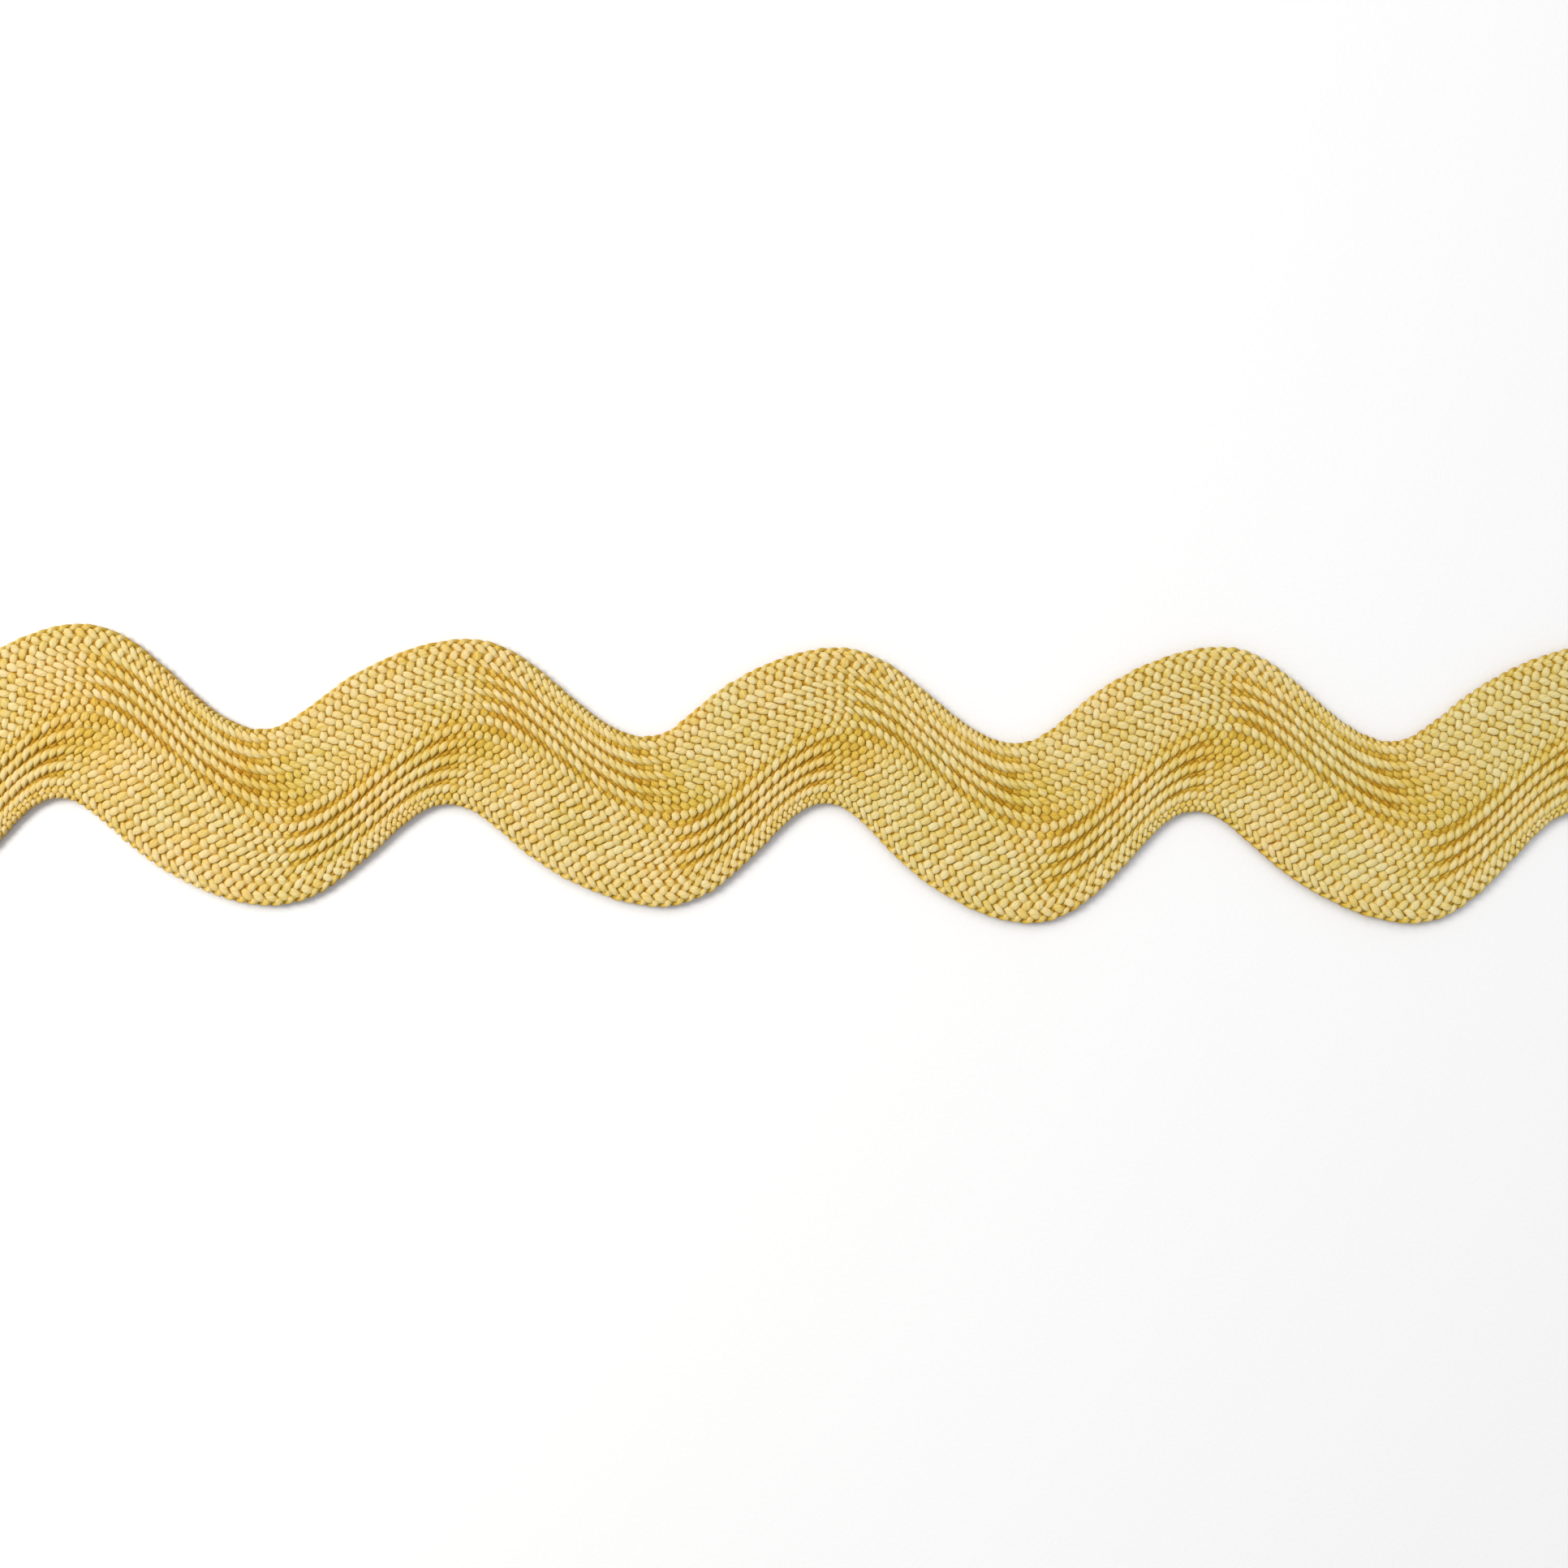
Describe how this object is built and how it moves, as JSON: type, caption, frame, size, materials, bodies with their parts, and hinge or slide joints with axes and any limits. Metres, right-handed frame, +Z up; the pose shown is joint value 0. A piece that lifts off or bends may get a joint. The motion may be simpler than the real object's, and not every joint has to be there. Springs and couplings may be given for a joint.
{
  "type": "cut length of wide ric rac braid",
  "caption": "Flat zigzag trimming braid of golden straw yarn, waved from side to side, a cut length lying flat.",
  "frame": {"origin": "middle of the braid's bounding box at its underside, on the surface it lies on", "axes": "+X along the length of the braid, +Y across it towards the far edge, +Z up out of its top face"},
  "size_m": [0.1748, 0.0272, 0.0016],
  "materials": {
    "braid_yarn": "matte"
  },
  "bodies": {
    "root": {"ric_rac_braid": "braid_yarn"}
  },
  "joints": []
}
